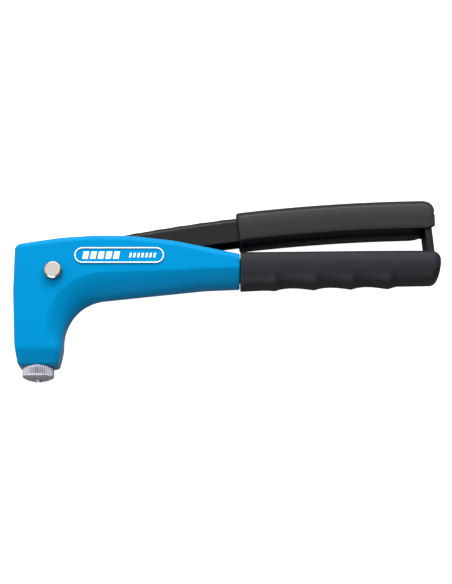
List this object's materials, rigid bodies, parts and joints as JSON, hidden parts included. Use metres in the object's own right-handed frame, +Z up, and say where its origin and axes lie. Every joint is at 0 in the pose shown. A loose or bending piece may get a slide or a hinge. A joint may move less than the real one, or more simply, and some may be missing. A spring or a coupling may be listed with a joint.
{
  "type": "hand riveter",
  "caption": "Hand tool that sets blind rivets: squeezing the lever against the body's grip pulls the mandrel up through the nose, and a latch keeps the grips closed.",
  "frame": {"origin": "middle of the footprint, at the height of the surface that the tool lies on", "axes": "the tool lies on its far side; +X runs along the handles away from the head, the nose points to -Y, +Z is up through the tool's thickness"},
  "size_m": [0.2674, 0.1158, 0.032],
  "materials": {
    "blue_paint": "die-cast aluminium with satin blue paint",
    "badge": "white raised print on a domed badge",
    "chromed": "chrome plated steel",
    "zinc_steel": "zinc plated, knurled",
    "spring_steel": "oil-dark spring wire",
    "black_steel": "black stoved enamel",
    "hard_steel": "hardened, blackened",
    "grip_upper": "moulded, fine grain",
    "grip_lower": "moulded, fine grain",
    "latch_steel": "black stoved enamel"
  },
  "bodies": {
    "body": {"body_casting": "blue_paint", "badge_plate": "badge", "pivot_pin": "chromed", "pivot_ring": "spring_steel", "lower_grip": "grip_lower", "spring_seat": "zinc_steel", "latch_pin": "hard_steel", "return_spring": "spring_steel"},
    "lever": {"lever_channel": "black_steel", "catch_bar": "hard_steel", "upper_grip": "grip_upper"},
    "carriage": {"crosshead": "hard_steel", "pull_tube": "hard_steel", "case_nut": "hard_steel", "jaw_case": "hard_steel", "jaw_spring": "spring_steel"},
    "jaws": {"jaw_near": "hard_steel", "jaw_far": "hard_steel", "jaw_pusher": "hard_steel"},
    "nose": {"nose_cap": "zinc_steel", "nosepiece": "zinc_steel"},
    "latch": {"latch": "latch_steel"}
  },
  "joints": [
    {"name": "lever_hinge", "type": "hinge", "parent": "body", "child": "lever", "pos_m": [-0.10905, 0.00965, 0.014], "axis": [0, 0, 1], "range_deg": [0, 55]},
    {"name": "carriage_slide", "type": "slide", "parent": "body", "child": "carriage", "axis": [0, -1, 0], "range_m": [0, 0.0081], "deforming": ["return_spring"]},
    {"name": "jaws_slide", "type": "slide", "parent": "carriage", "child": "jaws", "axis": [0, 1, 0], "range_m": [0, 0.0015], "stiffness_N_per_m": 600, "springref_m": -0.004, "deforming": ["jaw_spring"]},
    {"name": "nose_cap_turn", "type": "hinge", "parent": "body", "child": "nose", "pos_m": [-0.11785, -0.05035, 0.014], "axis": [0, 1, 0], "continuous": true},
    {"name": "latch_hinge", "type": "hinge", "parent": "body", "child": "latch", "pos_m": [0.12735, 0.01605, 0.014], "axis": [0, 0, 1], "range_deg": [-80, 4]}
  ],
  "couplings": [
    {"joint": "carriage_slide", "follows": "lever_hinge", "m_per_rad": 0.00833}
  ]
}
